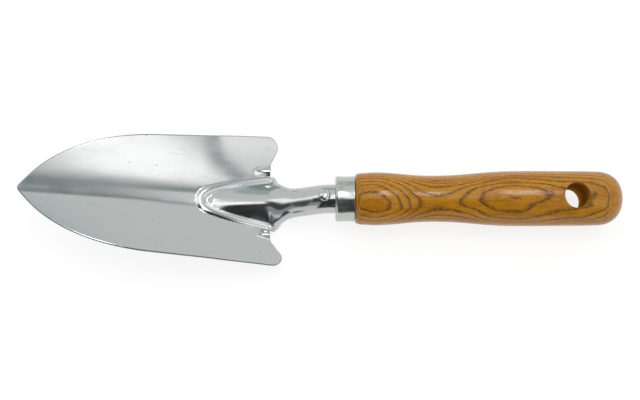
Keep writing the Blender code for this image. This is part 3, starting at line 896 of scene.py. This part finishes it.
def steel_finish(name, colour, roughness, haze, wavy, scratch_depth, blotch, worked):
    """Steel with scratches, smudges and pits. wavy and scratch_depth are heights in mm."""
    material, tree, shader = new_finish(name)
    first, second, third = (scratches(tree, *run) for run in scratch_runs)
    lines = math_node(tree, "ADD", first, second)
    lines = math_node(tree, "ADD", lines, third, clamp=True)
    clouds = soft_range(tree, noise(tree, in_mm(tree, haze_size), detail=4.0), 0.35, 0.75)
    touched = noise(tree, in_mm(tree, smudge_size), detail=5.0, roughness=0.6)
    smudges = soft_range(tree, touched, 0.60, 0.78)
    cells = [("Vector", in_mm(tree, pit_spacing)), ("Scale", 1.0), ("Randomness", 1.0)]
    pits = node(tree, "ShaderNodeTexVoronoi", cells, feature="F1")
    pit = soft_range(tree, pits.outputs["Distance"], 0.030, 0.045, 1.0, 0.0)

    tinted = mix_colours(tree, smudges, colour, smudge_tint, share=blotch)
    tinted = mix_colours(tree, pit, tinted, pit_tint, share=0.7)

    rough = add_up(tree, roughness, [(clouds, haze), (lines, 0.10), (smudges, 0.08)])
    if worked:
        along = node(tree, "ShaderNodeSeparateXYZ", [(0, in_mm(tree))]).outputs["X"]
        apex = (face_x + apex_x) / MM
        dullness = soft_range(tree, along, apex + worked_from, apex + worked_to, 0.0, worked)
        rough = math_node(tree, "ADD", rough, dullness)

    peel = noise(tree, in_mm(tree, peel_size), detail=2.0)
    rolls = noise(tree, in_mm(tree, roll_size), detail=1.0)
    relief = add_up(tree, 0.0, [(peel, wavy), (lines, -scratch_depth), (rolls, wavy * 5),
                                (pit, -0.02)])
    feed(tree, shader, [("Metallic", 1.0), ("Base Color", tinted), ("Roughness", rough),
                        ("Normal", bump(tree, relief))])
    return material


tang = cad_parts["tang"]
tang.data.materials.clear()
finishes = (
    # piece, name, colour, roughness, haze, waviness, scratch depth, blotch, worked neck
    (blade, "polished stainless", (0.485, 0.50, 0.495, 1), 0.085, 0.06, 0.004, 0.0012, 0.16, 0.05),
    (blade, "sheared edge", (0.225, 0.23, 0.23, 1), 0.32, 0.10, 0.010, 0.002, 0.16, 0.0),
    (ferrule, "bright ferrule plate", (0.485, 0.50, 0.47, 1), 0.15, 0.14, 0.022, 0.001, 0.4, 0.0),
    (rivet, "rivet steel", (0.50, 0.50, 0.48, 1), 0.18, 0.10, 0.012, 0.001, 0.4, 0.0),
    (tang, "plain rod steel", (0.30, 0.30, 0.31, 1), 0.42, 0.15, 0.02, 0.002, 0.16, 0.0),
)
for piece, *look in finishes:
    piece.data.materials.append(steel_finish(*look))
print("steel finishes:", [look[0] for _, *look in finishes])

# %% [markdown]
# ## Lacquered ring-porous wood
#
# Ring-porous woods such as ash, oak or chestnut open every year's growth with a band of large
# pores, then lay down dense, smooth wood. Cut along the trunk, the pores become dark dashes, and
# where the turned shape dips and swells through the rings they draw nested arches. So the grain
# is one number, the distance from the trunk's heart, which passes behind this handle. Its bands
# place the pores, and one fine noise stretched along the grain breaks them into dashes.

# %% Growth rings, pores and colour
ring_width = 0.62  # mm
heart_behind = 8.5  # mm from the handle's axis to the trunk's heart
heart_turn = math.radians(-22)  # the arches' tops face the camera a little below the middle
grain_rise, grain_drift = math.radians(1.5), 0.004  # the trunk's lean to the handle's axis

wood, tree, shader = new_finish("lacquered wood")
own = node(tree, "ShaderNodeTexCoord").outputs["Object"]
handle_middle = (0.0, 0.0, axis_z)
from_axis = vector_node(tree, "SUBTRACT", own, handle_middle)
grain = turned(tree, from_axis, (heart_turn, grain_rise, grain_drift))
grain = vector_node(tree, "MULTIPLY", grain, (1 / MM,) * 3)


def grown(x, y, z, detail, roughness=0.5):
    """A noise along the grain, whose clouds have these sizes in mm."""
    place = vector_node(tree, "MULTIPLY", grain, (1 / x, 1 / y, 1 / z))
    return noise(tree, place, detail, roughness)


split = node(tree, "ShaderNodeSeparateXYZ", [(0, grain)])
height = math_node(tree, "ADD", split.outputs["Z"], heart_behind)
slow, wander = grown(42, 13, 13, detail=2.0), grown(12, 3, 3, detail=2.0)
from_heart = math_node(tree, "ADD", math_node(tree, "POWER", split.outputs["Y"], 2),
                       math_node(tree, "POWER", height, 2))
from_heart = math_node(tree, "POWER", from_heart, 0.5)
from_heart = add_up(tree, from_heart, [(slow, 1.6), (wander, 0.3)])
ring = math_node(tree, "FRACT", math_node(tree, "DIVIDE", from_heart, ring_width))

# Share of early wood: it starts sharply and has faded by the middle of the ring.
early = soft_band(tree, ring, 0.0, 0.10, 0.18, 0.50)
pore_noise, fine_pores = grown(1.9, 0.26, 0.26, detail=1.0), grown(1.8, 0.26, 0.26, detail=0.0)
pores = math_node(tree, "MULTIPLY", soft_range(tree, pore_noise, 0.46, 0.54), early)
stray = math_node(tree, "MULTIPLY", soft_range(tree, fine_pores, 0.60, 0.72), 0.60)
pores = math_node(tree, "MAXIMUM", pores, stray)
fibres = grown(7, 0.30, 0.30, detail=3.0, roughness=0.6)
patches = soft_range(tree, grown(26, 5.5, 5.5, detail=3.0), 0.36, 0.68)

honey, amber, straw = (0.500, 0.205, 0.008, 1), (0.370, 0.122, 0.002, 1), (0.53, 0.27, 0.022, 1)
early_brown, pore_brown = (0.250, 0.088, 0.004, 1), (0.080, 0.027, 0.003, 1)
colour = mix_colours(tree, patches, honey, amber)
colour = mix_colours(tree, soft_range(tree, fibres, 0.38, 0.66, 0.0, 0.60), colour, straw)
colour = mix_colours(tree, early, colour, early_brown, share=0.60)
colour = mix_colours(tree, pores, colour, pore_brown, share=0.88)
dull = add_up(tree, 0.36, [(fibres, 0.12)])
relief = add_up(tree, 0.0, [(fibres, 0.02), (pores, -0.10)])
feed(tree, shader, [
    ("Base Color", colour), ("Roughness", dull), ("Normal", bump(tree, relief, 0.7)),
    ("Coat Weight", 1.0), ("Coat Roughness", 0.12), ("Coat IOR", 1.4),
    ("Coat Normal", bump(tree, relief, 0.42)), ("Specular IOR Level", 0.0)])
handle.data.materials.append(wood)

# The bore was drilled after turning and took little lacquer: bare end grain, painted lighter to
# make up for the shade inside the hole.
bare, tree, shader = new_finish("bare wood of the bore")
drilled = noise(tree, in_mm(tree, (0.9, 0.9, 1.6)), detail=3.0)
# Both grain colours carry painted light: they are lifted so that the shaded bore looks as bright as
# lit wood.
lit_brown_grain, lit_pale_grain = (0.260, 0.105, 0.010, 1), (0.600, 0.290, 0.045, 1)
feed(tree, shader, [
    ("Base Color", mix_colours(tree, drilled, lit_brown_grain, lit_pale_grain)), ("Roughness", 0.7),
    ("Specular IOR Level", 0.0), ("Normal", bump(tree, drilled, 0.6, distance=0.3 * MM))])
handle.data.materials.append(bare)
hole_centre = np.array([face_x + hole_x, 0, axis_z])
bare_radius = hole_radius * 1.004
for polygon in handle.data.polygons:
    ahead, y, z = np.array(polygon.center, float) - hole_centre
    if math.hypot(ahead, y * math.cos(hole_turn) + z * math.sin(hole_turn)) < bare_radius:
        polygon.material_index = 1
print("rings", ring_width, "mm wide, heart", heart_behind, "mm behind the axis")

# %% [markdown]
# ## Floor and camera
#
# The tool lies on white, seen from almost straight above. The camera leans 14.6 degrees from the
# vertical towards the near side, far enough away for a mild perspective. The floor is a table of
# white glass, lit from below as product photographers use it. Four fifths of its white come
# from within and one fifth from the room, so it stays bright and still takes a pale shadow.

# %% Camera
camera_lean, camera_roll = math.radians(14.6), math.radians(-0.1)
camera_distance = 582 * MM
image_width, focal_pixels = 640, 1150
sensor_width = 36  # mm
aim_ahead, aim_near = 7.7 * MM, 0.55 * MM  # the middle of the picture, from the ferrule's face
aim = Vector((face_x - aim_ahead, -aim_near, axis_z))
camera_data = bpy.data.cameras.new("camera")
camera_data.sensor_width = sensor_width
camera_data.lens = sensor_width * focal_pixels / image_width
camera = add_object("camera", camera_data)
back_off = Vector((0, -math.sin(camera_lean), math.cos(camera_lean)))
turn = Matrix.Rotation(camera_lean, 4, "X") @ Matrix.Rotation(camera_roll, 4, "Z")
camera.matrix_world = Matrix.Translation(aim + back_off * camera_distance) @ turn
scene.camera = camera
print(f"camera {camera_distance / MM:.0f} mm away, lens {camera_data.lens:.1f} mm")

# %% Floor
floor_reach = 3.0
floor_gap = 0.2 * MM
corner_signs = ((-1, -1), (1, -1), (1, 1), (-1, 1))
floor_mesh = bpy.data.meshes.new("floor")
floor_mesh.from_pydata([(a * floor_reach, b * floor_reach, 0) for a, b in corner_signs],
                       [], [(0, 1, 2, 3)])
floor = add_object("floor", floor_mesh)
floor.location.z = cad_box[0][2] - floor_gap
paper, tree, shader = new_finish("lit white table")
fleck = noise(tree, in_mm(tree, (60, 60, 60)), detail=3.0)
low_white, high_white = (0.22, 0.22, 0.22, 1), (0.24, 0.24, 0.24, 1)
feed(tree, shader, [
    ("Base Color", mix_colours(tree, fleck, low_white, high_white)), ("Roughness", 0.95),
    ("Specular IOR Level", 0.1), ("Emission Color", (1, 1, 1, 1)), ("Emission Strength", 0.81)])
floor_mesh.materials.append(paper)
print(f"floor {floor_gap / MM:.1f} mm under the tool, {2 * floor_reach:.0f} m wide")

# %% [markdown]
# ## The studio
#
# Polished metal has no look of its own: it shows the room. So the room is planned as a
# photographer would, as panels round the object, each a patch of the sky with soft edges. Two
# angles name a direction: how far it leans from straight up towards the far side, and how far it
# lies to the right. A long bright strip overhead draws the white line along neck, ferrule and
# lacquer. Beside it is the dark gap where the camera stands. Two wide panels on the right whiten
# the blade's far half, with a gap between them that draws the diagonal shade across it. Steel
# returns half of what it sees and lacquer a thirtieth, so the strip ends in a bare tube where
# only the handle sees it.

# %% Panels of light
world = bpy.data.worlds.new("studio")
scene.world = world
world.use_nodes = True
tree = world.node_tree
looking = node(tree, "ShaderNodeTexCoord").outputs["Generated"]
x, y, z = node(tree, "ShaderNodeSeparateXYZ", [(0, looking)]).outputs
lean = math_node(tree, "DEGREES", math_node(tree, "ARCTAN2", y, z))
right = math_node(tree, "DEGREES", math_node(tree, "ARCSINE", x))
room = (0.94, 0.96, 0.95)
cool = (0.88, 1.0, 1.04)  # the shaded parts of the room are a little blue
plain = (1.0, 1.0, 1.0)
slant_middle = -22  # lean at which a slanted side lies where its numbers say


def between(value, low, high, soft):
    """1 from low to high and 0 outside, with edges as wide as soft."""
    half = soft / 2
    return soft_band(tree, value, low - half, low + half, high - half, high + half)


def panel(light, lean_from, lean_to, right_from, right_to, soft_lean, soft_right, slant, strength,
          tint):
    """Lay one soft-edged panel over the light so far. Angles in degrees. With a slant, the panel's
    sides move to the right by that share of the lean."""
    past_middle = math_node(tree, "SUBTRACT", lean, slant_middle)
    moved = math_node(tree, "MULTIPLY_ADD", past_middle, -slant, right)
    cover = math_node(tree, "MULTIPLY", between(lean, lean_from, lean_to, soft_lean),
                      between(moved, right_from, right_to, soft_right))
    return mix_colours(tree, cover, light, tuple(strength * c for c in tint) + (1,))


panels = (
    # lean from, to, right from, to, softness of each, slant, strength, tint
    (-56, -12, -11, 13, 8, 4, 0, 0.05, cool),  # dark gap round the camera
    (-86, -40, -11, 3, 8, 4, 0, 0.04, cool),  # its deepest part
    (-36, 3, -42, -9, 8, 6, 0, 0.08, cool),  # its narrow left part, seen by the neck
    (-60, -32, -42, -11, 8, 8, 0, 0.45, cool),  # the half-lit side of that part
    (-66, -3, -90, -42, 10, 8, 0, 0.12, cool),  # its left end
    (-100, -55, 2, 30, 8, 6, 0, 0.10, cool),  # its lower end, below the blade's side
    (58, 90, -9, 2, 10, 6, 0, 0.65, cool),  # a dim corner beyond the object
    (-14, 36, 22.5, 58, 12, 8, 0, 1.15, plain),  # far panel on the right
    (-38, -16, 29, 58, 8, 5, 0.3, 1.46, plain),  # its brighter near end
    (22, 43, 25.5, 34, 6, 3, 0, 1.9, plain),  # a lamp above it
    (-12.5, 31, 13.5, 22.7, 6, 8, 0, 0.38, cool),  # shade over the blade's trough
    (-34, -14.5, 17.4, 25.9, 5, 5, 0.4, 1.98, plain),  # near panel on the right
    (-38, -8, 27.0, 29.6, 6, 3.2, 0.38, 0.36, cool),  # gap between the right panels
    (6, 38, 12.6, 14.6, 6, 2.4, 0.16, 0.45, cool),  # dark bar beside the shade
    (-11, -5, 23.5, 28, 4, 3, 0, 0.36, cool),  # dark bar under the far panel
    (72, 92, 17, 37, 6, 4, 0, 1.8, plain),  # a lamp low on the far side, for the bead's back
    (9, 24, -90, -13, 8, 8, 0, 1.8, plain),  # strip overhead, left part
    (-13, 2, -9, 3.5, 6, 3, 0, 2.0, plain),  # its middle part, set nearer
    (26, 62, 4.5, 14.5, 8, 3, 0, 0.8, cool),  # a dim wall behind the handle
    (62, 130, 5.5, 14.5, 8, 3, 0, 0.45, cool),  # its darker upper part
    (2, 20, 3.5, 12.5, 6, 2, 0, 10.0, plain),  # the strip's right part, a bare tube
)
light = room + (1,)
for place in panels:
    light = panel(light, *place)
feed(tree, tree.nodes["Background"], [("Color", light), ("Strength", 1.0)])
print(len(panels), "panels in a room of brightness", room)

# %% [markdown]
# ## Colours as chosen
#
# The dressed tool must not be larger than the imported model. The colours are shown as they were
# chosen, without a film look.

# %% Colours without a film look
scene.view_settings.view_transform = "Standard"
